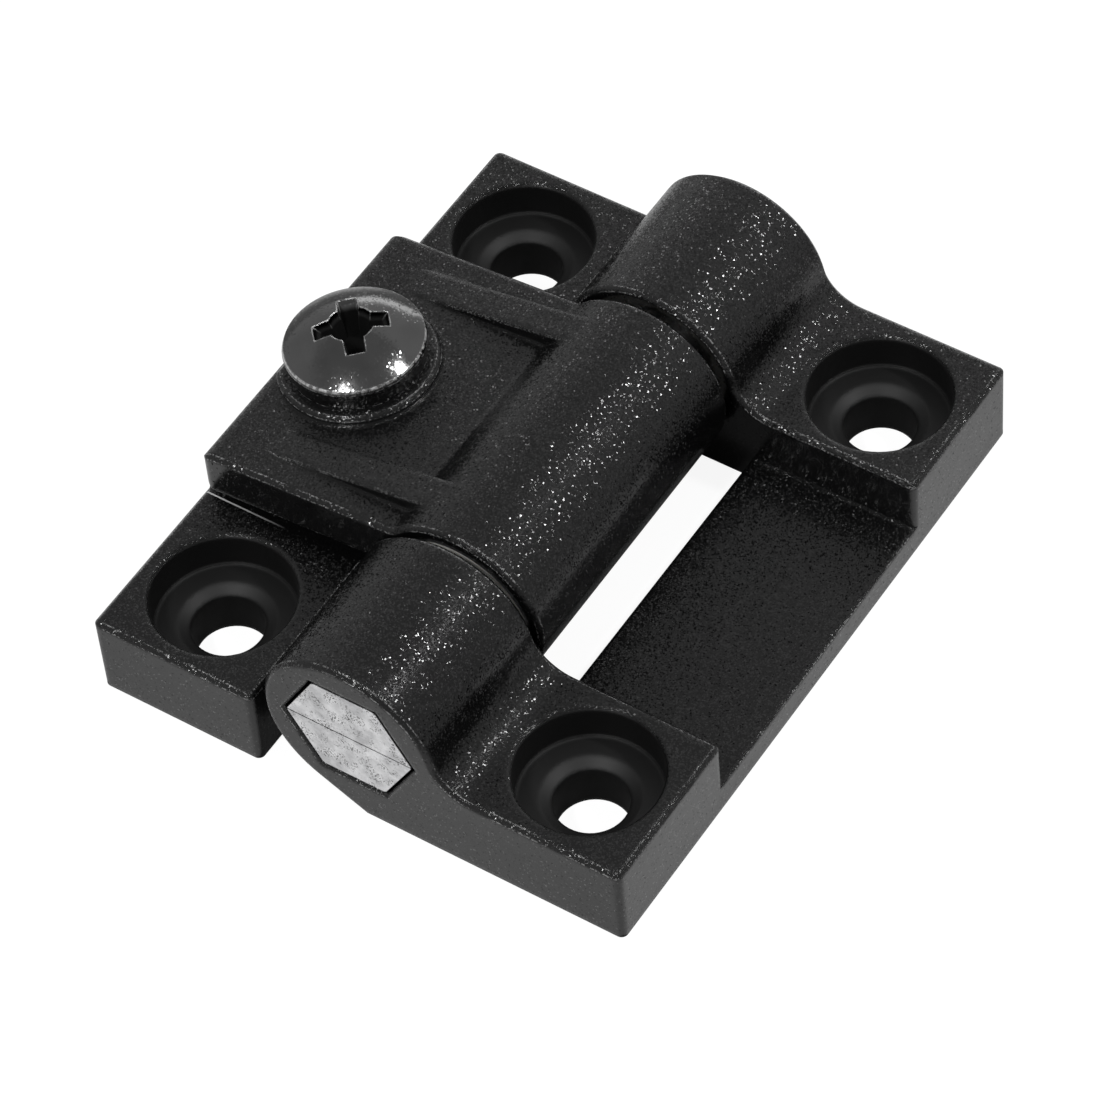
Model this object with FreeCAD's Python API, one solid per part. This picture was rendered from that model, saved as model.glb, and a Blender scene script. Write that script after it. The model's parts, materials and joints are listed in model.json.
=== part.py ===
import FreeCAD, Part
import math
import os

from FreeCAD import Vector

# Detent hinge, lying flat and open, in millimetres.
# X runs across the leaves: the centre leaf lies towards -X and the outer leaf towards +X.
# Y runs along the hinge axis, and Z is up. The origin is under the hinge axis, on the mounting plane.

# Overall size
LEAF_LENGTH = 51.1
PAD_WIDTH = 13.35
PAD_THICKNESS = 6.9
PAD_CORNER_ROUND = 0.5
INNER_CORNER_ROUND = 0.45
EDGE_BREAK = 0.3

# Mounting holes, for M5 or number 10 screws with a head up to 10 mm across
HOLE_TO_SIDE = 6.5
HOLE_TO_END = 6.5
HOLE_DIAMETER = 5.3
HEAD_BORE_DIAMETER = 10.4
HEAD_BORE_DEPTH = 3.0
LEAD_DIAMETER = 7.0
LEAD_DEPTH = 0.45
RIM_BREAK = 0.2

# Shaft, two halves of one hexagonal bar
SHAFT_FLATS = 8.78
SHAFT_CORNER_BREAK = 0.07
SHAFT_SPLIT = 0.12
SHAFT_END_RECESS = 0.1
SOCKET_CLEARANCE = 0.21
SOCKET_CHAMFER = 0.2

# Bowed leaf springs that spread the shaft halves
SPRING_PLACES = {"front": -6.2, "back": 6.2}
SPRING_LENGTH = 10.0
SPRING_WIDTH = 2.8
SPRING_THICKNESS = 0.4
SPRING_POCKET_DEPTH = 0.9
SPRING_CLEARANCE = 0.15
SPRING_SEAT_CLEARANCE = 0.05

# Detent sleeve
DETENT_COUNT = 12
DETENT_DEPTH = 0.3
DETENT_ANGLE = 120.0
DETENT_CLEARANCE = 0.08
SLEEVE_WALL = 0.8
SLEEVE_CLEARANCE = 0.05
SLEEVE_END_CLEARANCE = 0.1
SLEEVE_SLOT = 0.6
SLEEVE_KEY_HEIGHT = 0.8
SLEEVE_KEY_REACH = 1.0
SLEEVE_KEY_CLEARANCE = 0.1

# Knuckles of the outer leaf and barrel of the centre leaf
KNUCKLE_WALL = 1.64
KNUCKLE_LENGTH = 12.75
KNUCKLE_LIFT = 0.9
KNUCKLE_FOOT_FILLET = 3.0
BARREL_WALL = 1.1
BARREL_END_GAP = 0.78
UNDERCUT_ANGLE = 27.0

# Room between a pad or the web and the other leaf when the hinge is folded down square
FOLD_CLEARANCE = 0.25

# Web of the outer leaf, between its pads
WEB_THICKNESS = 2.3
WEB_EDGE_ROUND = 0.3

# Clamp tongue of the centre leaf, with the slit under it that narrows towards the free end
TONGUE_THICKNESS = 3.6
TONGUE_SLOPE = 4.5
TONGUE_NOSE_ROUND = 1.35
TONGUE_CORNER_ROUND = 0.9
TONGUE_HEEL_BREAK = 0.6
SLIT_AT_END = 0.5
VALLEY_FILLET = 1.0

# Ribs on the tongue
RIB_TO_EDGE = 4.25
RIB_TO_SIDE = 2.15
RIB_WIDTH = 2.6
RIB_SLOPE = 10.6
RIB_EDGE_ROUND = 0.3
RIB_BURIED = 1.5

# Adjusting screw and the boss under its head
SCREW_TO_EDGE = 5.5
SCREW_DIAMETER = 5.0
SCREW_CLEARANCE = 0.25
SCREW_TIP_HEIGHT = 0.6
SCREW_TIP_CHAMFER = 0.6
HEAD_DIAMETER = 10.4
HEAD_TAPER = 0.25
HEAD_WALL = 1.75
HEAD_HEIGHT = 3.65
HEAD_RIM_BREAK = 0.2
RECESS_ACROSS = 6.15
RECESS_ARM = 1.5
RECESS_DEPTH = 2.6
RECESS_FLOOR_ACROSS = 2.2
RECESS_FLOOR_ARM = 0.9
RECESS_HEART_ACROSS = 3.4
RECESS_TURN = 42.0
BOSS_MARGIN = 0.7
BOSS_TO_FLAT = 4.6
BOSS_HEIGHT = 0.7
BOSS_BREAK = 0.3

# Square nut in the underside of the centre leaf
NUT_ACROSS = 8.0
NUT_THICKNESS = 2.7
NUT_CORNER = 0.5
NUT_BORE_CLEARANCE = 0.05
NUT_CLEARANCE = 0.15
NUT_DEPTH = 0.5

# Radii about the hinge axis, from the shaft outwards
SHAFT_SHARP_CORNER = SHAFT_FLATS / 2 / math.cos(math.radians(30))
GROOVE_RADIUS = SHAFT_SHARP_CORNER + DETENT_CLEARANCE
LAND_RADIUS = GROOVE_RADIUS - DETENT_DEPTH
SLEEVE_RADIUS = LAND_RADIUS + SLEEVE_WALL
BORE_RADIUS = SLEEVE_RADIUS + SLEEVE_CLEARANCE
BARREL_RADIUS = BORE_RADIUS + BARREL_WALL
SOCKET_FLATS = SHAFT_FLATS + 2 * SOCKET_CLEARANCE
KNUCKLE_RADIUS = SOCKET_FLATS / 2 / math.cos(math.radians(30)) + KNUCKLE_WALL
AXIS_HEIGHT = KNUCKLE_RADIUS + KNUCKLE_LIFT

# Places that follow from the sizes above
HALF_LENGTH = LEAF_LENGTH / 2
PAD_TO_AXIS = AXIS_HEIGHT + FOLD_CLEARANCE
HALF_WIDTH = PAD_TO_AXIS + PAD_WIDTH
KNUCKLE_START = HALF_LENGTH - KNUCKLE_LENGTH
BARREL_HALF = KNUCKLE_START - BARREL_END_GAP
HOLE_X = HALF_WIDTH - HOLE_TO_SIDE
HOLE_Y = HALF_LENGTH - HOLE_TO_END
SCREW_X = -HALF_WIDTH + SCREW_TO_EDGE

# How far a cutter runs on past what it cuts, and how near two values count as the same
BEYOND = 5.0
CLOSE = 1e-4


def axis_point(radius, degrees):
    """A point at a polar angle about the hinge axis, in the plane y = 0."""
    angle = math.radians(degrees)
    return Vector(radius * math.cos(angle), 0, AXIS_HEIGHT + radius * math.sin(angle))


def slit_top(x):
    """Height of the tongue's underside, which is the top of the slit."""
    return PAD_THICKNESS + SLIT_AT_END + (x + HALF_WIDTH) * math.tan(math.radians(TONGUE_SLOPE))


def tongue_top(x):
    """Height of the tongue's upper face."""
    return slit_top(x) + TONGUE_THICKNESS


def screw_seat():
    """Height of the boss under the screw's head, before both lean with the tongue."""
    return tongue_top(SCREW_X) + BOSS_HEIGHT


def lean_with_tongue(shape):
    """Turns a shape about the foot of the screw's boss, so that it stands square on the sloping tongue."""
    foot = Vector(SCREW_X, 0, tongue_top(SCREW_X))
    return shape.rotated(foot, Vector(0, 1, 0), -TONGUE_SLOPE)


def line(start, end):
    return Part.makeLine(start, end)


def arc(start, middle, end):
    return Part.Arc(start, middle, end).toShape()


def extrude_y(edges, y_from, y_to):
    """Solid from a closed outline drawn in the plane y = 0."""
    face = Part.Face(Part.Wire(edges))
    face.translate(Vector(0, y_from, 0))
    return face.extrude(Vector(0, y_to - y_from, 0))


def polygon_y(points, y_from, y_to):
    """Solid from a polygon of (x, z) points."""
    corners = [Vector(x, 0, z) for x, z in points]
    edges = [line(a, b) for a, b in zip(corners, corners[1:] + corners[:1])]
    return extrude_y(edges, y_from, y_to)


def box(x_from, x_to, y_from, y_to, z_from, z_to):
    size = (x_to - x_from, y_to - y_from, z_to - z_from)
    return Part.makeBox(*size, Vector(x_from, y_from, z_from))


def hexagon_bar(across_flats, y_from, y_to):
    """Hexagonal bar on the hinge axis, with two corners level with the axis."""
    corner_radius = across_flats / 2 / math.cos(math.radians(30))
    corners = [axis_point(corner_radius, 60 * k) for k in range(6)]
    edges = [line(a, b) for a, b in zip(corners, corners[1:] + corners[:1])]
    return extrude_y(edges, y_from, y_to)


def axis_cylinder(radius, y_from, y_to):
    return Part.makeCylinder(radius, y_to - y_from, Vector(0, y_from, AXIS_HEIGHT), Vector(0, 1, 0))


def fillet_where(solid, radius, wanted):
    """Rounds every edge that the test wanted(edge) picks."""
    edges = [edge for edge in solid.Edges if not edge.Degenerated and wanted(edge)]
    return solid.makeFillet(radius, edges)


def chamfer_where(solid, size, wanted):
    """Breaks every edge that the test wanted(edge) picks."""
    edges = [edge for edge in solid.Edges if not edge.Degenerated and wanted(edge)]
    return solid.makeChamfer(size, edges)


def edge_middle(edge):
    return edge.valueAt((edge.FirstParameter + edge.LastParameter) / 2)


def edge_lies_at(edge, axis, value):
    """True where the whole edge lies in the plane axis = value."""
    points = edge.discretize(5)
    return all(abs(getattr(point, axis) - value) < CLOSE for point in points)


def is_upright(edge):
    """True for a straight edge along Z."""
    start = edge.valueAt(edge.FirstParameter)
    end = edge.valueAt(edge.LastParameter)
    return math.hypot(start.x - end.x, start.y - end.y) < CLOSE < abs(start.z - end.z)


def is_at_end(edge, half_length):
    """True where the whole edge lies in an end face, at y = half_length or y = -half_length."""
    return edge_lies_at(edge, "y", math.copysign(half_length, edge_middle(edge).y))


def undercut(radius, side):
    """Tangent point under a barrel, and where its tangent meets the mounting plane."""
    angle = math.radians(UNDERCUT_ANGLE)
    touch = Vector(side * radius * math.sin(angle), 0, AXIS_HEIGHT - radius * math.cos(angle))
    run = touch.z / math.tan(angle)
    foot = Vector(touch.x - side * run, 0, 0)
    return touch, foot


def mounting_hole_cutter(x, y):
    """Stepped screw hole with a bore for the screw's head and a broken rim."""
    hole = HOLE_DIAMETER / 2
    lead = LEAD_DIAMETER / 2
    head = HEAD_BORE_DIAMETER / 2
    floor = PAD_THICKNESS - HEAD_BORE_DEPTH
    top = PAD_THICKNESS + BEYOND
    corners = [
        Vector(0, 0, top),
        Vector(0, 0, -BEYOND),
        Vector(hole, 0, -BEYOND),
        Vector(hole, 0, floor - LEAD_DEPTH),
        Vector(lead, 0, floor),
        Vector(head, 0, floor),
        Vector(head, 0, PAD_THICKNESS - RIM_BREAK),
        Vector(head + RIM_BREAK, 0, PAD_THICKNESS),
        Vector(head + RIM_BREAK, 0, top),
    ]
    outline = Part.makePolygon(corners + corners[:1])
    cutter = Part.Face(outline).revolve(Vector(0, 0, 0), Vector(0, 0, 1), 360)
    cutter.translate(Vector(x, y, 0))
    return cutter


def knuckle_outline():
    """Section of the outer leaf's end: knuckle, pad and the fillet between them."""
    touch, foot = undercut(KNUCKLE_RADIUS, -1)
    centre_z = PAD_THICKNESS + KNUCKLE_FOOT_FILLET
    reach = KNUCKLE_RADIUS + KNUCKLE_FOOT_FILLET
    centre_x = math.sqrt(reach**2 - (centre_z - AXIS_HEIGHT) ** 2)
    centre = Vector(centre_x, 0, centre_z)
    from_axis = math.degrees(math.atan2(centre_z - AXIS_HEIGHT, centre_x))
    meet = axis_point(KNUCKLE_RADIUS, from_axis)
    pad_end = Vector(centre_x, 0, PAD_THICKNESS)
    bend = math.radians((180 + from_axis + 270) / 2)
    bend_middle = centre + KNUCKLE_FOOT_FILLET * Vector(math.cos(bend), 0, math.sin(bend))
    outer_top = Vector(HALF_WIDTH, 0, PAD_THICKNESS)
    outer_foot = Vector(HALF_WIDTH, 0, 0)
    return [
        line(outer_foot, foot),
        line(foot, touch),
        arc(touch, axis_point(KNUCKLE_RADIUS, 120), meet),
        arc(meet, bend_middle, pad_end),
        line(pad_end, outer_top),
        line(outer_top, outer_foot),
    ]


def make_knuckle_block(side):
    """One end of the outer leaf, with round corners and a broken outline."""
    inner, outer = side * KNUCKLE_START, side * HALF_LENGTH
    block = extrude_y(knuckle_outline(), min(inner, outer), max(inner, outer))

    def outer_corner(edge):
        return is_upright(edge) and edge_lies_at(edge, "y", outer)

    def inner_corner(edge):
        return is_upright(edge) and edge_lies_at(edge, "y", inner)

    def outline_edge(edge):
        middle = edge_middle(edge)
        at_end = edge_lies_at(edge, "y", inner) or edge_lies_at(edge, "y", outer)
        on_pad = edge_lies_at(edge, "z", PAD_THICKNESS) and middle.x > HOLE_X
        return (at_end or on_pad) and middle.z > CLOSE and not is_upright(edge)

    block = fillet_where(block, PAD_CORNER_ROUND, outer_corner)
    block = fillet_where(block, INNER_CORNER_ROUND, inner_corner)
    return chamfer_where(block, EDGE_BREAK, outline_edge)


def is_web_inner_edge(edge):
    """The web's upper edge beside the barrel."""
    return edge_lies_at(edge, "x", PAD_TO_AXIS) and edge_lies_at(edge, "z", WEB_THICKNESS)


def make_outer_leaf():
    """Two knuckle blocks joined by the web, with hexagonal sockets and screw holes."""
    web_end = KNUCKLE_START + INNER_CORNER_ROUND
    web = box(PAD_TO_AXIS, HALF_WIDTH, -web_end, web_end, 0, WEB_THICKNESS)
    web = fillet_where(web, WEB_EDGE_ROUND, is_web_inner_edge)
    leaf = make_knuckle_block(-1).fuse([make_knuckle_block(1), web]).removeSplitter()
    cutters = [mounting_hole_cutter(HOLE_X, side * HOLE_Y) for side in (-1, 1)]
    cutters.append(hexagon_bar(SOCKET_FLATS, -HALF_LENGTH - BEYOND, HALF_LENGTH + BEYOND))
    for side in (-1, 1):
        cutters.append(socket_mouth(side))
    return leaf.cut(cutters)


def socket_mouth(side):
    """Small chamfer round the outer end of a hexagonal socket."""
    wires = []
    for across, y in (
        (SOCKET_FLATS, HALF_LENGTH - SOCKET_CHAMFER),
        (SOCKET_FLATS + 2 * SOCKET_CHAMFER, HALF_LENGTH),
    ):
        radius = across / 2 / math.cos(math.radians(30))
        corners = [axis_point(radius, 60 * k) + Vector(0, side * y, 0) for k in range(6)]
        wires.append(Part.makePolygon(corners + corners[:1]))
    return Part.makeLoft(wires, True, True)


def tongue_nose():
    """Arc that rounds the tongue's free end over: its lower end, its middle and its upper end."""
    slope = math.radians(TONGUE_SLOPE)
    centre_x = -HALF_WIDTH + TONGUE_NOSE_ROUND
    centre = Vector(centre_x, 0, tongue_top(centre_x) - TONGUE_NOSE_ROUND / math.cos(slope))
    points = []
    for angle in (math.pi, (1.5 * math.pi + slope) / 2, math.pi / 2 + slope):
        points.append(centre + TONGUE_NOSE_ROUND * Vector(math.cos(angle), 0, math.sin(angle)))
    return points


def barrel_profile():
    """Outline of the centre leaf between its pads: plate, barrel and tongue, before the slit is cut."""
    touch, foot = undercut(BARREL_RADIUS, 1)
    slope = math.radians(TONGUE_SLOPE)
    reach = BARREL_RADIUS + VALLEY_FILLET
    along = Vector(math.cos(slope), 0, math.sin(slope))
    normal = Vector(-math.sin(slope), 0, math.cos(slope))
    on_top = Vector(0, 0, tongue_top(0)) + VALLEY_FILLET * normal
    from_axis = on_top - Vector(0, 0, AXIS_HEIGHT)
    across = from_axis.dot(along)
    back = across + math.sqrt(across**2 - from_axis.dot(from_axis) + reach**2)
    centre = on_top - back * along
    tongue_end = centre - VALLEY_FILLET * normal
    direction = centre - Vector(0, 0, AXIS_HEIGHT)
    meet = Vector(0, 0, AXIS_HEIGHT) + direction * (BARREL_RADIUS / direction.Length)
    towards_axis = (meet - centre).normalize()
    bend = (towards_axis - normal).normalize()
    nose_start, nose_middle, nose_end = tongue_nose()
    left_foot = Vector(-HALF_WIDTH, 0, 0)
    return [
        line(left_foot, nose_start),
        arc(nose_start, nose_middle, nose_end),
        line(nose_end, tongue_end),
        arc(tongue_end, centre + VALLEY_FILLET * bend, meet),
        arc(meet, axis_point(BARREL_RADIUS, 20), touch),
        line(touch, foot),
        line(foot, left_foot),
    ]


def make_plate():
    """Plate of the centre leaf, with round corners and a broken upper edge."""
    plate = box(-HALF_WIDTH, -PAD_TO_AXIS, -HALF_LENGTH, HALF_LENGTH, 0, PAD_THICKNESS)
    plate = fillet_where(plate, PAD_CORNER_ROUND, is_upright)
    return chamfer_where(plate, EDGE_BREAK, lambda edge: edge_lies_at(edge, "z", PAD_THICKNESS))


def make_barrel_and_tongue():
    """Middle of the centre leaf, with its outline broken at both ends and the tongue's corners round."""
    middle_part = extrude_y(barrel_profile(), -BARREL_HALF, BARREL_HALF)
    plan = box(-HALF_WIDTH, HALF_WIDTH, -BARREL_HALF, BARREL_HALF, 0, HALF_WIDTH)

    def outline_edge(edge):
        return is_at_end(edge, BARREL_HALF) and edge_middle(edge).z > CLOSE

    def tongue_corner(edge):
        return is_upright(edge) and edge_lies_at(edge, "x", -HALF_WIDTH)

    middle_part = chamfer_where(middle_part, EDGE_BREAK, outline_edge)
    return middle_part.common(fillet_where(plan, TONGUE_CORNER_ROUND, tongue_corner))


def make_rib(side):
    """Rib that leaves the tongue's upper face and rises towards the barrel."""
    leave_x = -HALF_WIDTH + RIB_TO_EDGE
    climb = math.tan(math.radians(RIB_SLOPE))
    start_x = leave_x - RIB_BURIED
    start_z = tongue_top(leave_x) - (leave_x - start_x) * climb
    end_z = tongue_top(leave_x) - leave_x * climb
    foot_z = tongue_top(start_x) - TONGUE_THICKNESS / 2
    outer_y = side * (BARREL_HALF - RIB_TO_SIDE)
    inner_y = outer_y - side * RIB_WIDTH
    points = [(start_x, start_z), (0, end_z), (0, foot_z), (start_x, foot_z)]
    rib = polygon_y(points, min(inner_y, outer_y), max(inner_y, outer_y))

    def long_top_edge(edge):
        middle = edge_middle(edge)
        return abs(middle.x - start_x / 2) < CLOSE and middle.z > foot_z + CLOSE

    return fillet_where(rib, RIB_EDGE_ROUND, long_top_edge)


def make_boss():
    """Round seat for the screw's head, cut flat on the side of the tongue's free end."""
    radius = HEAD_DIAMETER / 2 + BOSS_MARGIN
    top = screw_seat()
    foot = tongue_top(SCREW_X) - TONGUE_THICKNESS / 2
    boss = Part.makeCylinder(radius, top - foot, Vector(SCREW_X, 0, foot))
    boss = boss.common(box(SCREW_X - BOSS_TO_FLAT, 0, -radius, radius, foot, top))
    boss = chamfer_where(boss, BOSS_BREAK, lambda edge: edge_lies_at(edge, "z", top))
    return lean_with_tongue(boss)


def make_centre_leaf():
    """Plate, barrel, tongue, ribs and boss, slit along one side and bored for the sleeve."""
    pieces = [make_plate(), make_rib(-1), make_rib(1), make_boss()]
    leaf = make_barrel_and_tongue().fuse(pieces).removeSplitter()
    slit_end = -LAND_RADIUS
    slit_start = -HALF_WIDTH - BEYOND
    heel = -HALF_WIDTH + TONGUE_HEEL_BREAK
    slit = [
        (slit_start, PAD_THICKNESS),
        (slit_end, PAD_THICKNESS),
        (slit_end, slit_top(slit_end)),
        (heel, slit_top(heel)),
        (slit_start, slit_top(heel) + heel - slit_start),
    ]
    screw_hole = SCREW_DIAMETER / 2 + SCREW_CLEARANCE
    pocket = NUT_ACROSS / 2 + NUT_CLEARANCE
    hole = Part.makeCylinder(screw_hole, screw_seat() + 2 * BEYOND, Vector(SCREW_X, 0, -BEYOND))
    nut_room = box(SCREW_X - pocket, SCREW_X + pocket, -pocket, pocket, -BEYOND, NUT_DEPTH + NUT_THICKNESS)
    cutters = [
        axis_cylinder(BORE_RADIUS, -BARREL_HALF - BEYOND, BARREL_HALF + BEYOND),
        polygon_y(slit, -BARREL_HALF - BEYOND, BARREL_HALF + BEYOND),
        lean_with_tongue(hole),
        lean_with_tongue(nut_room),
    ]
    for side in (-1, 1):
        cutters.append(mounting_hole_cutter(-HOLE_X, side * HOLE_Y))
    return leaf.cut(cutters)


def make_shaft_half(side):
    """Half of a hexagonal bar, with a pocket for each spring in its split face."""
    end = HALF_LENGTH - SHAFT_END_RECESS
    bar = hexagon_bar(SHAFT_FLATS, -end, end)
    bar = bar.common(axis_cylinder(SHAFT_SHARP_CORNER - SHAFT_CORNER_BREAK, -end, end))
    split = AXIS_HEIGHT + side * SHAFT_SPLIT / 2
    far = AXIS_HEIGHT + side * SHAFT_FLATS
    keep = box(-SHAFT_FLATS, SHAFT_FLATS, -HALF_LENGTH, HALF_LENGTH, min(split, far), max(split, far))
    half = bar.common(keep)
    pocket_x = SPRING_WIDTH / 2 + SPRING_CLEARANCE
    pocket_y = SPRING_LENGTH / 2 + SPRING_THICKNESS + SPRING_CLEARANCE
    roof = split + side * SPRING_POCKET_DEPTH
    for y in SPRING_PLACES.values():
        pocket = box(-pocket_x, pocket_x, y - pocket_y, y + pocket_y, min(split, roof), max(split, roof))
        half = half.cut(pocket)
    return half


def make_spread_spring(y):
    """Bowed strip that bears on one half with its ends and on the other with its middle."""
    height = SHAFT_SPLIT + 2 * (SPRING_POCKET_DEPTH - SPRING_SEAT_CLEARANCE)
    foot_z = AXIS_HEIGHT - height / 2
    bow = height - SPRING_THICKNESS
    radius = (SPRING_LENGTH**2 / 4 + bow**2) / (2 * bow)
    centre = Vector(0, y, foot_z + bow - radius)
    half_angle = math.asin(SPRING_LENGTH / 2 / radius)

    def on_bow(distance, angle):
        return centre + distance * Vector(0, math.sin(angle), math.cos(angle))

    outer = radius + SPRING_THICKNESS
    edges = [
        arc(on_bow(radius, -half_angle), on_bow(radius, 0), on_bow(radius, half_angle)),
        line(on_bow(radius, half_angle), on_bow(outer, half_angle)),
        arc(on_bow(outer, half_angle), on_bow(outer, 0), on_bow(outer, -half_angle)),
        line(on_bow(outer, -half_angle), on_bow(radius, -half_angle)),
    ]
    strip = Part.Face(Part.Wire(edges)).extrude(Vector(SPRING_WIDTH, 0, 0))
    strip.translate(Vector(-SPRING_WIDTH / 2, 0, 0))
    return strip


def make_detent_sleeve():
    """Sleeve split along one side, with grooves for the shaft's corners and a key in the slit."""
    half = BARREL_HALF - SLEEVE_END_CLEARANCE
    groove_half_width = DETENT_DEPTH * math.tan(math.radians(DETENT_ANGLE / 2))
    half_angle = math.degrees(groove_half_width / LAND_RADIUS)
    pitch = 360 / DETENT_COUNT
    edges = []
    for k in range(DETENT_COUNT):
        middle = k * pitch
        left = axis_point(LAND_RADIUS, middle - half_angle)
        tip = axis_point(GROOVE_RADIUS, middle)
        right = axis_point(LAND_RADIUS, middle + half_angle)
        land_middle = axis_point(LAND_RADIUS, middle + pitch / 2)
        land_end = axis_point(LAND_RADIUS, middle + pitch - half_angle)
        edges += [line(left, tip), line(tip, right), arc(right, land_middle, land_end)]
    bore = extrude_y(edges, -half - BEYOND, half + BEYOND)
    key_foot = PAD_THICKNESS + SLEEVE_KEY_CLEARANCE
    key_top = key_foot + SLEEVE_KEY_HEIGHT
    key_end = -SLEEVE_RADIUS - SLEEVE_KEY_REACH
    key = box(key_end, -LAND_RADIUS, -half, half, key_foot, key_top)
    split = box(key_end, 0, -half - BEYOND, half + BEYOND, key_top, key_top + SLEEVE_SLOT)
    return axis_cylinder(SLEEVE_RADIUS, -half, half).fuse(key).cut([bore, split])


def make_screw_recess(top):
    """Cross recess with tapering arms."""
    arms = []
    for turn in (0, 90):
        wires = []
        for across, arm, z in (
            (RECESS_FLOOR_ACROSS, RECESS_FLOOR_ARM, top - RECESS_DEPTH),
            (RECESS_ACROSS, RECESS_ARM, top),
        ):
            x, y = across / 2, arm / 2
            corners = [Vector(-x, -y, z), Vector(x, -y, z), Vector(x, y, z), Vector(-x, y, z)]
            wires.append(Part.makePolygon(corners + corners[:1]))
        arm_solid = Part.makeLoft(wires, True, True)
        arm_solid.rotate(Vector(0, 0, 0), Vector(0, 0, 1), turn + RECESS_TURN)
        arms.append(arm_solid)
    floor = Vector(0, 0, top - RECESS_DEPTH)
    heart = Part.makeCone(RECESS_FLOOR_ACROSS / 2, RECESS_HEART_ACROSS / 2, RECESS_DEPTH, floor)
    return arms[0].fuse([arms[1], heart])


def make_adjusting_screw():
    """Pan-head screw, its threaded length drawn as a plain shank."""
    seat = screw_seat()
    shank = SCREW_DIAMETER / 2
    rim = HEAD_DIAMETER / 2
    rim_z = seat + HEAD_WALL
    top_z = seat + HEAD_HEIGHT
    rise = top_z - rim_z
    dome = (rim**2 + rise**2) / (2 * rise)
    half_way = rim / 2
    dome_middle = top_z - dome + math.sqrt(dome**2 - half_way**2)
    corners = [
        Vector(0, 0, top_z),
        Vector(0, 0, SCREW_TIP_HEIGHT),
        Vector(shank - SCREW_TIP_CHAMFER, 0, SCREW_TIP_HEIGHT),
        Vector(shank, 0, SCREW_TIP_HEIGHT + SCREW_TIP_CHAMFER),
        Vector(shank, 0, seat),
        Vector(rim - HEAD_TAPER, 0, seat),
        Vector(rim, 0, rim_z),
    ]
    edges = [line(a, b) for a, b in zip(corners, corners[1:])]
    edges.append(arc(corners[-1], Vector(half_way, 0, dome_middle), corners[0]))
    screw = Part.Face(Part.Wire(edges)).revolve(Vector(0, 0, 0), Vector(0, 0, 1), 360)
    screw = chamfer_where(screw, HEAD_RIM_BREAK, lambda edge: edge_lies_at(edge, "z", rim_z))
    screw = screw.cut(make_screw_recess(top_z))
    screw.translate(Vector(SCREW_X, 0, 0))
    return lean_with_tongue(screw)


def make_square_nut():
    """Square nut with chamfered corners, seated against the roof of its pocket."""
    half = NUT_ACROSS / 2
    nut = box(SCREW_X - half, SCREW_X + half, -half, half, NUT_DEPTH, NUT_DEPTH + NUT_THICKNESS)
    nut = nut.makeChamfer(NUT_CORNER, [edge for edge in nut.Edges if is_upright(edge)])
    bore = SCREW_DIAMETER / 2 + NUT_BORE_CLEARANCE
    height = NUT_DEPTH + NUT_THICKNESS + BEYOND
    return lean_with_tongue(nut.cut(Part.makeCylinder(bore, height, Vector(SCREW_X, 0, 0))))


def write(node, shape):
    """Writes one sub-part as a STEP file named after its node."""
    solids = shape.Solids
    print(node, len(solids), round(shape.Volume, 2), shape.isValid(), shape.BoundBox)
    solids[0].exportStep(f"parts/{node}.step")


def main():
    os.makedirs("parts", exist_ok=True)
    write("outer_leaf", make_outer_leaf())
    write("centre_leaf", make_centre_leaf())
    write("shaft_upper_half", make_shaft_half(1))
    write("shaft_lower_half", make_shaft_half(-1))
    for place, y in SPRING_PLACES.items():
        write(f"spread_spring_{place}", make_spread_spring(y))
    write("detent_sleeve", make_detent_sleeve())
    write("adjusting_screw", make_adjusting_screw())
    write("square_nut", make_square_nut())


main()
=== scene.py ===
import json
import math

import bpy
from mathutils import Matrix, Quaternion, Vector


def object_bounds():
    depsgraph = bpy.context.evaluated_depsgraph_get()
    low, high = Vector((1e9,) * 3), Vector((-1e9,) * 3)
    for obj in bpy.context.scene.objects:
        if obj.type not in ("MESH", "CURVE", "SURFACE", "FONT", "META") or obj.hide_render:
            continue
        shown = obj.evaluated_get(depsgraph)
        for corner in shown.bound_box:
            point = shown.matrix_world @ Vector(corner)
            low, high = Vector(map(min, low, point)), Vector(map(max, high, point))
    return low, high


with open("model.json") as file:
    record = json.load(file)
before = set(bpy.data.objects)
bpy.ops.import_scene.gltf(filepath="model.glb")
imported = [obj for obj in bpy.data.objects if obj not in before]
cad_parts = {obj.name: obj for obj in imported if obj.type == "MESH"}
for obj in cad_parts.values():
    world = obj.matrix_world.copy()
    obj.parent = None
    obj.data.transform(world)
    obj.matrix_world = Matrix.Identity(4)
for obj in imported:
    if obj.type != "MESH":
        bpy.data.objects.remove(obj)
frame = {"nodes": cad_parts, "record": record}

# Detent hinge on a plain white ground. Everything is in metres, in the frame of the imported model.

cad_box = [list(corner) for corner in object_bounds()]
record = frame["record"]
leaf_screws = next(mount for mount in record["mounts"] if mount["name"] == "outer_leaf_screws")
screw_turn = next(joint for joint in record["behaviour"]["joints"] if joint["name"] == "screw_turn")
MM = 0.001

# Camera, fitted to the photo's view: roll in degrees, lens and sensor in millimetres
CAMERA_PLACE = Vector((139.563, -185.169, 286.615)) * MM
CAMERA_AIM = Vector((2.530, -4.522, 7.0)) * MM
CAMERA_ROLL = 5.636
CAMERA_LENS = 170.88
SENSOR_WIDTH = 36.0

# Screw holes of the leaves: the one in the corner where x and y are positive, and its head bore
HOLE_PLACE = Vector((leaf_screws["pos_m"][0], leaf_screws["dims"]["spacing_y_mm"] / 2 * MM, 0.0))
BORE_RADIUS = 5.2 * MM

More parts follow.
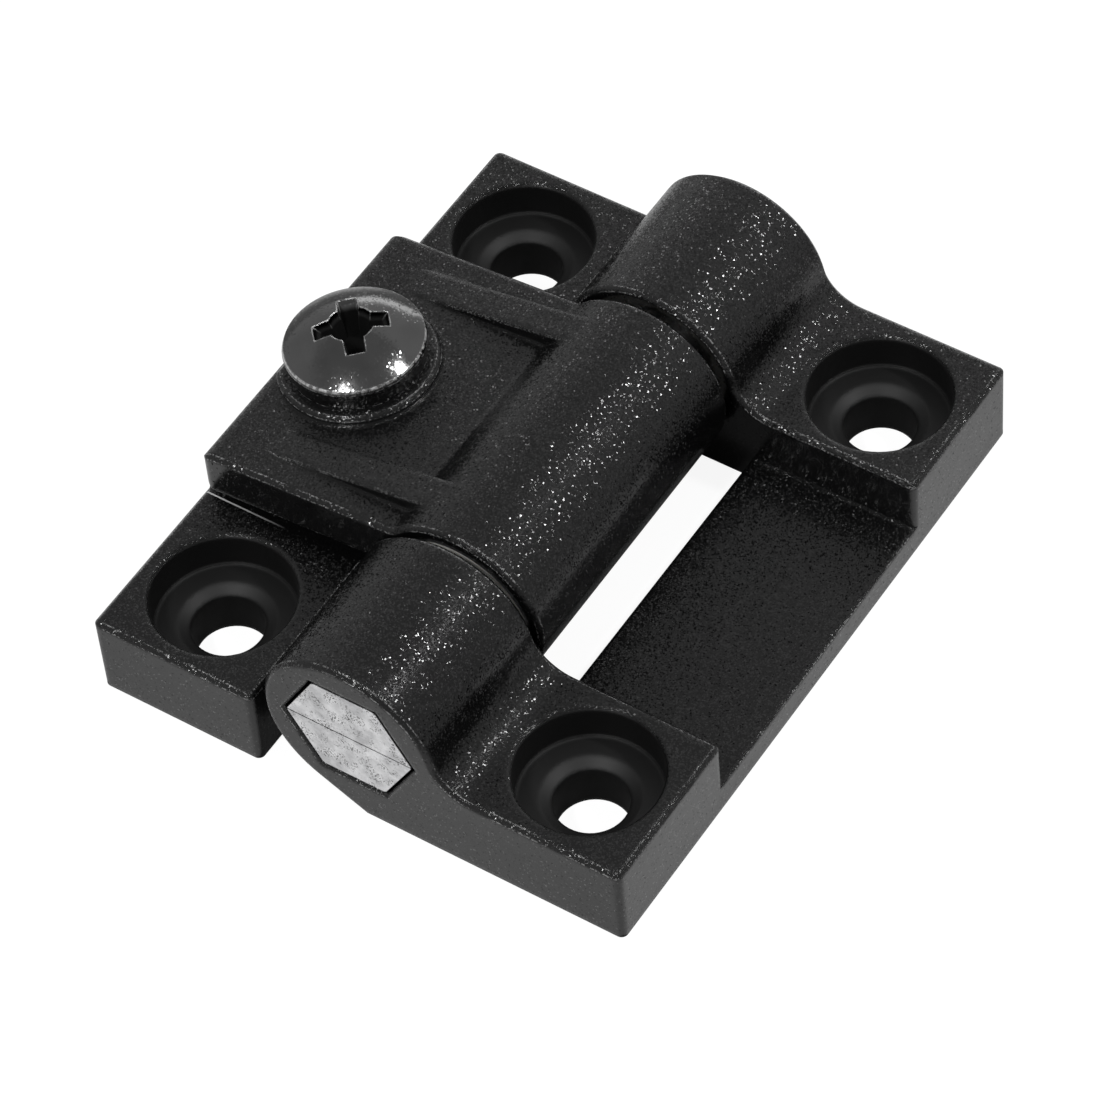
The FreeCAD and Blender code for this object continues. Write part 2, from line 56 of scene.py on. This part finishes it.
# Lower edge of the slit under the clamp tongue, the painted highlight line along it, and where that
# fades out along X
SLIT_EDGE_Y = 12.06 * MM
SLIT_EDGE_Z = 6.9 * MM
SLIT_FREE_END = -20.5 * MM
SLIT_FADE_END = -14.5 * MM
SLIT_LINE_WIDTH = 0.06 * MM

# The screw's head: the foot of its boss, its axis, the heights of its dome and rim over the foot,
# the radii of dome and rim, and how far its recess reaches from the axis
SCREW_FOOT = Vector(screw_turn["pos_m"])
SCREW_AXIS = tuple(screw_turn["axis"])
DOME_HEIGHT = 4.35 * MM
RIM_HEIGHT = 2.48 * MM
DOME_RADIUS = 8.07 * MM
RIM_RADIUS = 5.2 * MM
RECESS_REACH = 3.3 * MM

# Powder coat: size of its wave and specks, how far the specks lean and how many cells have one, how soft
# an edge looks, how wide a painted edge highlight is and how much room it needs before it
COAT_WAVE = 1.1 * MM
SPECK_SIZE = 0.10 * MM
SPECK_TILT = 0.27
SPECK_SHARE = 0.68
COAT_EDGE = 0.5 * MM
EDGE_HIGHLIGHT_WIDTH = 0.16 * MM
OPEN_REACH = 0.7 * MM
EDGE_HIGHLIGHT_GROUP = 2.5 * MM
BORE_ROUGHNESS = 0.55

# Screw: how far its nicks lean and how many cells have one
NICK_TILT = 0.09
NICK_SHARE = 0.3
SCREW_EDGE = 0.15 * MM
WEAR_AND_HIGHLIGHT_ROUGHNESS = 0.55

# Light, as radiance: 1 is white. In reflections the ground's glow falls off from POOL_START
# to POOL_END, which are distances from the middle of the hinge.
SKY_LEVEL = 0.36
SKY_LOW_LEVEL = 0.50
SKY_BACK_LEVEL = 0.60
GROUND_GLOW = 0.90
GROUND_SHADE = 0.20
GROUND_REFLECTED = 0.58
GROUND_REFLECTED_FAR = 0.08
GROUND_ALBEDO = 0.80
POOL_START = 28 * MM
POOL_END = 75 * MM

# Ground: half its width, its place just under the mounting plane, so that the two don't coincide,
# and the length of the rays that it lets through
GROUND_HALF = 1.5
GROUND_DROP = 0.01 * MM
SHORT_RAY = 0.05 * MM

# Lamps: direction from the hinge, width and height in metres, power in watts
LAMP_DISTANCE = 0.6
LAMPS = {
    "key": ((0.49, 0.29, 0.82), 0.06, 0.06, 1.05),
    "front": ((-0.02, -0.58, 0.82), 0.08, 0.08, 1.5),
    "back": ((-0.40, 0.90, 0.17), 0.36, 0.10, 0.22),
}


# Node helpers

def new_material(name):
    """An empty node material with a Principled shader; returns its tree and the shader."""
    material = bpy.data.materials.new(name)
    material.use_nodes = True
    tree = material.node_tree
    shader = tree.nodes["Principled BSDF"]
    return material, tree, shader


def object_coordinates(tree):
    return tree.nodes.new("ShaderNodeTexCoord").outputs["Object"]


def noise(tree, vector, size, detail=2.0, rough=0.5, stretch=(1, 1, 1)):
    """Noise with features about size across, in metres; stretch makes them longer along an axis."""
    mapping = tree.nodes.new("ShaderNodeMapping")
    mapping.inputs["Scale"].default_value = [1 / (size * s) for s in stretch]
    tree.links.new(vector, mapping.inputs["Vector"])
    node = tree.nodes.new("ShaderNodeTexNoise")
    node.inputs["Scale"].default_value = 1.0
    node.inputs["Detail"].default_value = detail
    node.inputs["Roughness"].default_value = rough
    tree.links.new(mapping.outputs["Vector"], node.inputs["Vector"])
    return node.outputs["Fac"]


def remap(tree, value, low, high, out_low, out_high):
    """Maps low..high to out_low..out_high, and holds it there outside."""
    node = tree.nodes.new("ShaderNodeMapRange")
    limits = {"From Min": low, "From Max": high, "To Min": out_low, "To Max": out_high}
    for socket, number in limits.items():
        node.inputs[socket].default_value = number
    tree.links.new(value, node.inputs["Value"])
    return node.outputs["Result"]


def math_node(tree, operation, first, second=0.0):
    node = tree.nodes.new("ShaderNodeMath")
    node.operation = operation
    for socket, value in zip(node.inputs, (first, second)):
        if isinstance(value, (int, float)):
            socket.default_value = value
        else:
            tree.links.new(value, socket)
    return node.outputs["Value"]


def blend_colours(tree, factor, first, second):
    node = tree.nodes.new("ShaderNodeMix")
    node.data_type = "RGBA"
    tree.links.new(factor, node.inputs["Factor"])
    node.inputs["A"].default_value = (*first, 1)
    node.inputs["B"].default_value = (*second, 1)
    return node.outputs["Result"]


def layer(tree, factor, below, colour):
    """Lays one plain colour over another by a factor."""
    node = tree.nodes.new("ShaderNodeMix")
    node.data_type = "RGBA"
    tree.links.new(factor, node.inputs["Factor"])
    tree.links.new(below, node.inputs["A"])
    node.inputs["B"].default_value = (*colour, 1)
    return node.outputs["Result"]


def bump(tree, height, depth, normal=None):
    """Relief of the given depth in metres."""
    node = tree.nodes.new("ShaderNodeBump")
    node.inputs["Strength"].default_value = 1.0
    node.inputs["Distance"].default_value = depth
    tree.links.new(height, node.inputs["Height"])
    if normal is not None:
        tree.links.new(normal, node.inputs["Normal"])
    return node.outputs["Normal"]


def softened_edges(tree, radius):
    """Normal that turns over an edge as if it were rounded."""
    node = tree.nodes.new("ShaderNodeBevel")
    node.samples = 4
    node.inputs["Radius"].default_value = radius
    return node.outputs["Normal"]


def vector_math(tree, operation, first, second=(0, 0, 0), result="Vector"):
    node = tree.nodes.new("ShaderNodeVectorMath")
    node.operation = operation
    for socket, value in zip(node.inputs, (first, second)):
        if isinstance(value, tuple):
            socket.default_value = value
        else:
            tree.links.new(value, socket)
    return node.outputs[result]


def axes_of(tree, vector):
    node = tree.nodes.new("ShaderNodeSeparateXYZ")
    tree.links.new(vector, node.inputs["Vector"])
    return node.outputs


def facets(tree, vector, size, tilt, share, normal):
    """Leans the normal in a share of tiny cells, so that a lamp shows there as specks."""
    cells = tree.nodes.new("ShaderNodeTexVoronoi")
    cells.inputs["Scale"].default_value = 1 / size
    tree.links.new(vector, cells.inputs["Vector"])
    lot = tree.nodes.new("ShaderNodeTexWhiteNoise")
    tree.links.new(cells.outputs["Color"], lot.inputs["Vector"])
    picked = math_node(tree, "LESS_THAN", lot.outputs["Value"], share)
    lean = vector_math(tree, "SUBTRACT", cells.outputs["Color"], (0.5, 0.5, 0.5))
    lean = vector_math(tree, "MULTIPLY", lean, (2 * tilt, 2 * tilt, 2 * tilt))
    lean = vector_math(tree, "MULTIPLY", lean, picked)
    return vector_math(tree, "NORMALIZE", vector_math(tree, "ADD", normal, lean))


def edge_wear_and_highlight(tree, rounded, low, high):
    """1 along sharp edges and 0 on flat faces, from how far the rounded normal leans."""
    true_normal = tree.nodes.new("ShaderNodeNewGeometry").outputs["True Normal"]
    lean = vector_math(tree, "DOT_PRODUCT", rounded, true_normal, "Value")
    return remap(tree, lean, high, low, 0, 1)


# Materials

def hole_distance(tree, place):
    """Distance from the axis of the nearest screw hole."""
    mirrored = vector_math(tree, "ABSOLUTE", place)
    across = vector_math(tree, "SUBTRACT", mirrored, tuple(HOLE_PLACE))
    across = vector_math(tree, "MULTIPLY", across, (1, 1, 0))
    return vector_math(tree, "LENGTH", across, result="Value")


def inside_holes(tree, place, hole):
    """1 in the screw holes, from just over the mounting plane to the rim, and 0 outside them."""
    within = remap(tree, hole, BORE_RADIUS, BORE_RADIUS + 0.15 * MM, 1, 0)
    above = remap(tree, axes_of(tree, place)["Z"], 0.1 * MM, 0.3 * MM, 0, 1)
    return math_node(tree, "MULTIPLY", within, above)


def painted_slit_highlight(tree, place):
    """Thin painted highlight line along the slit's lower edge, brightest at the tongue's free end."""
    split = axes_of(tree, place)
    along = remap(tree, split["X"], SLIT_FREE_END, SLIT_FADE_END, 1, 0)
    beside = math_node(tree, "ABSOLUTE", split["Y"])
    beside = math_node(tree, "ABSOLUTE", math_node(tree, "SUBTRACT", beside, SLIT_EDGE_Y))
    above = math_node(tree, "ABSOLUTE", math_node(tree, "SUBTRACT", split["Z"], SLIT_EDGE_Z))
    line = math_node(tree, "LESS_THAN", math_node(tree, "MAXIMUM", beside, above), SLIT_LINE_WIDTH)
    return math_node(tree, "MULTIPLY", line, along)


def painted_edge_highlights(tree, place):
    """Small painted highlight spots along the outer edges, which stand in for glints."""
    rounded = softened_edges(tree, EDGE_HIGHLIGHT_WIDTH)
    open_side = tree.nodes.new("ShaderNodeAmbientOcclusion")
    open_side.samples = 4
    open_side.inputs["Distance"].default_value = OPEN_REACH
    outer = remap(tree, open_side.outputs["AO"], 0.80, 0.95, 0, 1)
    edge = math_node(tree, "MULTIPLY", edge_wear_and_highlight(tree, rounded, 0.940, 0.990), outer)
    spots = remap(tree, noise(tree, place, EDGE_HIGHLIGHT_WIDTH, detail=3), 0.48, 0.56, 0, 1)
    groups = remap(tree, noise(tree, place, EDGE_HIGHLIGHT_GROUP), 0.38, 0.52, 0, 1)
    return math_node(tree, "MULTIPLY", edge, math_node(tree, "MULTIPLY", spots, groups))


def upright(tree):
    """High on faces that stand upright, which show hardly any specks."""
    normal = axes_of(tree, tree.nodes.new("ShaderNodeTexCoord").outputs["Normal"])
    level = math_node(tree, "ABSOLUTE", normal["Z"])
    return remap(tree, level, 0.10, 0.45, 0.85, 0)


def make_powder_coat():
    """Black powder coat: a fine grain that sparkles, and a slow orange-peel wave, with painted shade in
    the screw holes and painted highlights along the outer edges and the slit.
    """
    material, tree, shader = new_material("powder_coat")
    place = object_coordinates(tree)
    wave = noise(tree, place, COAT_WAVE, detail=2)
    patches = noise(tree, place, 5 * MM, detail=3)
    shade = blend_colours(tree, patches, (0.0020, 0.0020, 0.0021), (0.0035, 0.0035, 0.0036))
    hole = hole_distance(tree, place)
    bore = inside_holes(tree, place, hole)
    clear_of_hole = remap(tree, hole, BORE_RADIUS + 0.35 * MM, BORE_RADIUS + 0.5 * MM, 0, 1)
    edge_glints = math_node(tree, "MULTIPLY", painted_edge_highlights(tree, place), clear_of_hole)
    # Painted shade: a near-black colour in the screw holes
    shade = layer(tree, bore, shade, (0.0005, 0.0005, 0.0005))
    # Painted highlight: light grey spots along the outer edges, standing in for glints
    shade = layer(tree, edge_glints, shade, (0.35, 0.35, 0.35))
    # Painted highlight: a pale line along the slit's lower edge
    shade = layer(tree, painted_slit_highlight(tree, place), shade, (0.60, 0.60, 0.60))
    tree.links.new(shade, shader.inputs["Base Color"])
    relief = bump(tree, wave, 0.012 * MM, softened_edges(tree, COAT_EDGE))
    plain_face = math_node(tree, "MAXIMUM", bore, upright(tree))
    speckled = math_node(tree, "SUBTRACT", 1.0, plain_face)
    share = math_node(tree, "MULTIPLY", speckled, SPECK_SHARE)
    relief = facets(tree, place, SPECK_SIZE, SPECK_TILT, share, relief)
    tree.links.new(relief, shader.inputs["Normal"])
    rough = remap(tree, patches, 0.3, 0.7, 0.15, 0.20)
    rough = math_node(tree, "MAXIMUM", rough, math_node(tree, "MULTIPLY", bore, BORE_ROUGHNESS))
    tree.links.new(rough, shader.inputs["Roughness"])
    shader.inputs["IOR"].default_value = 1.5
    return material


def screw_position(tree, place):
    """Height over the foot of the screw's boss, and the square of the distance from the screw's axis."""
    from_foot = vector_math(tree, "SUBTRACT", place, tuple(SCREW_FOOT))
    height = vector_math(tree, "DOT_PRODUCT", from_foot, SCREW_AXIS, "Value")
    squared = math_node(tree, "POWER", vector_math(tree, "LENGTH", from_foot, result="Value"), 2.0)
    across = math_node(tree, "SUBTRACT", squared, math_node(tree, "MULTIPLY", height, height))
    return height, across


def recess_depth(tree, height, across):
    """0 on the screw's domed head and 1 deep in its recess."""
    fall = math_node(tree, "MULTIPLY", across, 1 / (2 * DOME_RADIUS))
    below_dome = math_node(tree, "SUBTRACT", math_node(tree, "SUBTRACT", DOME_HEIGHT, fall), height)
    near = math_node(tree, "LESS_THAN", across, RECESS_REACH**2)
    return math_node(tree, "MULTIPLY", near, remap(tree, below_dome, 0.15 * MM, 0.9 * MM, 0, 1))


def painted_rim_highlight(tree, height, across):
    """1 on the thin break round the screw's head, where a highlight line is painted."""
    off = math_node(tree, "ABSOLUTE", math_node(tree, "SUBTRACT", height, RIM_HEIGHT))
    outside = math_node(tree, "GREATER_THAN", across, (RIM_RADIUS - 0.3 * MM) ** 2)
    return math_node(tree, "MULTIPLY", outside, remap(tree, off, 0.03 * MM, 0.13 * MM, 1, 0))


def make_screw_steel():
    """Blackened steel with small nicks, worn bright along its edges, which also stands in for their
    highlights, with a painted highlight line round the head's rim and painted shade deep in its recess.
    """
    material, tree, shader = new_material("blackened_steel")
    place = object_coordinates(tree)
    patches = noise(tree, place, 2.2 * MM, detail=3)
    rounded = softened_edges(tree, SCREW_EDGE)
    height, across = screw_position(tree, place)
    deep = recess_depth(tree, height, across)
    edges = edge_wear_and_highlight(tree, rounded, 0.970, 0.996)
    wear_and_highlight = math_node(tree, "MAXIMUM", edges, painted_rim_highlight(tree, height, across))
    wear_and_highlight = math_node(tree, "MULTIPLY", wear_and_highlight, remap(tree, noise(tree, place, 0.3 * MM), 0.4, 0.6, 0.3, 1))
    dark = blend_colours(tree, patches, (0.10, 0.10, 0.10), (0.16, 0.16, 0.16))
    # Bright worn metal along the edges, which also stands in for their highlights, and a painted
    # highlight line round the rim
    shade = layer(tree, wear_and_highlight, dark, (0.92, 0.92, 0.92))
    # Painted shade: a near-black colour deep in the cross recess
    shade = layer(tree, deep, shade, (0.02, 0.02, 0.02))
    tree.links.new(shade, shader.inputs["Base Color"])
    shader.inputs["Metallic"].default_value = 1.0
    rough = math_node(tree, "MAXIMUM", remap(tree, patches, 0.3, 0.7, 0.13, 0.17), deep)
    rough = math_node(tree, "MAXIMUM", rough, math_node(tree, "MULTIPLY", wear_and_highlight, WEAR_AND_HIGHLIGHT_ROUGHNESS))
    tree.links.new(rough, shader.inputs["Roughness"])
    relief = bump(tree, patches, 0.030 * MM, rounded)
    relief = facets(tree, place, SPECK_SIZE, NICK_TILT, NICK_SHARE, relief)
    tree.links.new(relief, shader.inputs["Normal"])
    return material


def make_sawn_steel():
    """Bright steel, smudged, finely scratched and pitted."""
    material, tree, shader = new_material("bright_steel")
    place = object_coordinates(tree)
    smudges = noise(tree, place, 1.6 * MM, detail=4, rough=0.65)
    pits = noise(tree, place, 0.14 * MM, detail=2)
    pit_groups = noise(tree, place, 1.1 * MM, detail=3)
    scratches = noise(tree, place, 0.05 * MM, detail=3, stretch=(16, 16, 1))
    smudged = remap(tree, smudges, 0.35, 0.65, 0, 1)
    clean = blend_colours(tree, smudged, (0.58, 0.58, 0.59), (0.95, 0.95, 0.96))
    many = remap(tree, pit_groups, 0.46, 0.60, 0, 1)
    pitted = math_node(tree, "MULTIPLY", remap(tree, pits, 0.54, 0.60, 0, 1), many)
    tree.links.new(layer(tree, pitted, clean, (0.10, 0.10, 0.10)), shader.inputs["Base Color"])
    shader.inputs["Metallic"].default_value = 1.0
    tree.links.new(remap(tree, scratches, 0.3, 0.7, 0.26, 0.46), shader.inputs["Roughness"])
    relief = bump(tree, scratches, 0.005 * MM, softened_edges(tree, 0.05 * MM))
    relief = bump(tree, pits, 0.008 * MM, relief)
    tree.links.new(relief, shader.inputs["Normal"])
    return material


def make_spring_steel():
    """Blue-grey tempered strip, drawn lengthways."""
    material, tree, shader = new_material("spring_strip")
    place = object_coordinates(tree)
    lines = noise(tree, place, 0.05 * MM, detail=3, stretch=(1, 30, 1))
    shade = blend_colours(tree, lines, (0.34, 0.35, 0.38), (0.52, 0.53, 0.56))
    tree.links.new(shade, shader.inputs["Base Color"])
    shader.inputs["Metallic"].default_value = 1.0
    tree.links.new(remap(tree, lines, 0.3, 0.7, 0.25, 0.4), shader.inputs["Roughness"])
    tree.links.new(bump(tree, lines, 0.002 * MM), shader.inputs["Normal"])
    return material


def make_sleeve_plastic():
    """Natural acetal: milky white, slightly waxy, with a moulded grain."""
    material, tree, shader = new_material("natural_acetal")
    place = object_coordinates(tree)
    cloud = noise(tree, place, 3 * MM, detail=3)
    grain = noise(tree, place, 0.1 * MM, detail=2)
    shade = blend_colours(tree, cloud, (0.78, 0.77, 0.72), (0.84, 0.83, 0.79))
    tree.links.new(shade, shader.inputs["Base Color"])
    tree.links.new(remap(tree, grain, 0.3, 0.7, 0.34, 0.46), shader.inputs["Roughness"])
    shader.inputs["Subsurface Weight"].default_value = 0.15
    shader.inputs["Subsurface Radius"].default_value = (0.6 * MM, 0.5 * MM, 0.4 * MM)
    tree.links.new(bump(tree, grain, 0.004 * MM), shader.inputs["Normal"])
    return material


def make_zinc_plate():
    """Bright zinc plate with a faint yellow cast in patches."""
    material, tree, shader = new_material("zinc_plate")
    place = object_coordinates(tree)
    patches = noise(tree, place, 1.5 * MM, detail=3)
    grain = noise(tree, place, 0.08 * MM, detail=2)
    shade = blend_colours(tree, patches, (0.55, 0.56, 0.57), (0.66, 0.65, 0.61))
    tree.links.new(shade, shader.inputs["Base Color"])
    shader.inputs["Metallic"].default_value = 1.0
    tree.links.new(remap(tree, grain, 0.3, 0.7, 0.28, 0.42), shader.inputs["Roughness"])
    relief = bump(tree, grain, 0.003 * MM, softened_edges(tree, 0.15 * MM))
    tree.links.new(relief, shader.inputs["Normal"])
    return material


def dress(material, *names):
    """Gives every material slot of the named nodes one material."""
    for name in names:
        for slot in frame["nodes"][name].material_slots:
            slot.material = material


dress(make_powder_coat(), "outer_leaf", "centre_leaf")
dress(make_screw_steel(), "adjusting_screw")
dress(make_sawn_steel(), "shaft_upper_half", "shaft_lower_half")
dress(make_spring_steel(), "spread_spring_front", "spread_spring_back")
dress(make_sleeve_plastic(), "detent_sleeve")
dress(make_zinc_plate(), "square_nut")


# Ground, which shows white to the camera and in reflections near the hinge, and keeps the shadow

def seen_straight(tree):
    """1 for rays of the camera, also where they have gone through clear pieces."""
    path = tree.nodes.new("ShaderNodeLightPath")
    return math_node(tree, "MAXIMUM", path.outputs["Is Camera Ray"], path.outputs["Is Transmission Ray"])


def pool_of_light(tree):
    """Glow of the ground in reflections: bright round the hinge, dark under it and far from it."""
    place = object_coordinates(tree)
    far = vector_math(tree, "LENGTH", place, result="Value")
    level = remap(tree, far, POOL_START, POOL_END, GROUND_REFLECTED, GROUND_REFLECTED_FAR)
    split = axes_of(tree, place)
    half_across, half_along = cad_box[1][:2]
    in_x = math_node(tree, "LESS_THAN", math_node(tree, "ABSOLUTE", split["X"]), half_across)
    in_y = math_node(tree, "LESS_THAN", math_node(tree, "ABSOLUTE", split["Y"]), half_along)
    under = math_node(tree, "MULTIPLY", in_x, in_y)
    return math_node(tree, "MULTIPLY", level, math_node(tree, "SUBTRACT", 1.0, under))


def clear_from_below(tree, surface):
    """Lets rays from below through the ground, and the short ones that leave the hinge's underside."""
    below = tree.nodes.new("ShaderNodeNewGeometry").outputs["Backfacing"]
    length = tree.nodes.new("ShaderNodeLightPath").outputs["Ray Length"]
    through = math_node(tree, "MAXIMUM", below, math_node(tree, "LESS_THAN", length, SHORT_RAY))
    mix = tree.nodes.new("ShaderNodeMixShader")
    tree.links.new(through, mix.inputs[0])
    tree.links.new(surface, mix.inputs[1])
    tree.links.new(tree.nodes.new("ShaderNodeBsdfTransparent").outputs[0], mix.inputs[2])
    return mix.outputs[0]


def make_ground_material():
    material = bpy.data.materials.new("white_ground")
    material.use_nodes = True
    tree = material.node_tree
    tree.nodes.clear()
    output = tree.nodes.new("ShaderNodeOutputMaterial")
    glossy = tree.nodes.new("ShaderNodeLightPath").outputs["Is Glossy Ray"]
    plain = tree.nodes.new("ShaderNodeBsdfDiffuse")
    plain.inputs["Color"].default_value = (GROUND_ALBEDO, GROUND_ALBEDO, GROUND_ALBEDO, 1)
    shown = tree.nodes.new("ShaderNodeBsdfDiffuse")
    shown.inputs["Color"].default_value = (GROUND_SHADE, GROUND_SHADE, GROUND_SHADE, 1)
    straight = seen_straight(tree)
    mirrored = math_node(tree, "MULTIPLY", glossy, pool_of_light(tree))
    glow = tree.nodes.new("ShaderNodeEmission")
    level = math_node(tree, "MAXIMUM", math_node(tree, "MULTIPLY", straight, GROUND_GLOW), mirrored)
    tree.links.new(level, glow.inputs["Strength"])
    both = tree.nodes.new("ShaderNodeAddShader")
    tree.links.new(shown.outputs[0], both.inputs[0])
    tree.links.new(glow.outputs[0], both.inputs[1])
    seen = math_node(tree, "MAXIMUM", straight, glossy)
    mix = tree.nodes.new("ShaderNodeMixShader")
    tree.links.new(seen, mix.inputs[0])
    tree.links.new(plain.outputs[0], mix.inputs[1])
    tree.links.new(both.outputs[0], mix.inputs[2])
    tree.links.new(clear_from_below(tree, mix.outputs[0]), output.inputs["Surface"])
    return material


def make_ground():
    signs = ((-1, -1), (1, -1), (1, 1), (-1, 1))
    corners = [(x * GROUND_HALF, y * GROUND_HALF, -GROUND_DROP) for x, y in signs]
    mesh = bpy.data.meshes.new("ground")
    mesh.from_pydata(corners, [], [(0, 1, 2, 3)])
    mesh.materials.append(make_ground_material())
    ground = bpy.data.objects.new("ground", mesh)
    bpy.context.scene.collection.objects.link(ground)


def sky_level(tree):
    """Even grey by direction, lighter at the back and low down on the centre leaf's side."""
    towards = axes_of(tree, tree.nodes.new("ShaderNodeTexCoord").outputs["Generated"])
    low = remap(tree, towards["Z"], 0.62, 0.76, SKY_LOW_LEVEL - SKY_LEVEL, 0)
    left = remap(tree, towards["X"], -0.30, 0.10, 1, 0)
    back = remap(tree, towards["Y"], 0.515, 0.55, 0, SKY_BACK_LEVEL - SKY_LEVEL)
    more = math_node(tree, "MAXIMUM", math_node(tree, "MULTIPLY", low, left), back)
    return math_node(tree, "ADD", SKY_LEVEL, more)


def make_sky():
    """Grey light from above, white where the camera looks past the ground."""
    world = bpy.data.worlds.new("studio")
    world.use_nodes = True
    bpy.context.scene.world = world
    tree = world.node_tree
    tree.nodes.clear()
    output = tree.nodes.new("ShaderNodeOutputWorld")
    light = tree.nodes.new("ShaderNodeBackground")
    tree.links.new(sky_level(tree), light.inputs["Strength"])
    light.inputs["Color"].default_value = (1, 1, 1, 1)
    shown = tree.nodes.new("ShaderNodeBackground")
    shown.inputs["Color"].default_value = (1, 1, 1, 1)
    mix = tree.nodes.new("ShaderNodeMixShader")
    tree.links.new(seen_straight(tree), mix.inputs[0])
    tree.links.new(light.outputs[0], mix.inputs[1])
    tree.links.new(shown.outputs[0], mix.inputs[2])
    tree.links.new(mix.outputs[0], output.inputs["Surface"])


def make_lamp(name, direction, width, height, power):
    """Flat lamp that looks at the hinge."""
    data = bpy.data.lights.new(name, "AREA")
    data.shape = "RECTANGLE"
    data.size = width
    data.size_y = height
    data.energy = power
    lamp = bpy.data.objects.new(name, data)
    towards = Vector(direction).normalized()
    lamp.location = towards * LAMP_DISTANCE
    lamp.rotation_mode = "QUATERNION"
    lamp.rotation_quaternion = towards.to_track_quat("Z", "Y")
    bpy.context.scene.collection.objects.link(lamp)


def make_camera():
    data = bpy.data.cameras.new("camera")
    data.sensor_width = SENSOR_WIDTH
    data.lens = CAMERA_LENS
    data.clip_start = 0.01
    data.clip_end = 10.0
    camera = bpy.data.objects.new("camera", data)
    camera.location = CAMERA_PLACE
    camera.rotation_mode = "QUATERNION"
    level = (CAMERA_AIM - CAMERA_PLACE).to_track_quat("-Z", "Y")
    roll = Quaternion((0, 0, 1), math.radians(-CAMERA_ROLL))
    camera.rotation_quaternion = level @ roll
    bpy.context.scene.collection.objects.link(camera)
    bpy.context.scene.camera = camera


make_ground()
make_sky()
for lamp_name, settings in LAMPS.items():
    make_lamp(lamp_name, *settings)
make_camera()
bpy.context.scene.view_settings.view_transform = "Standard"
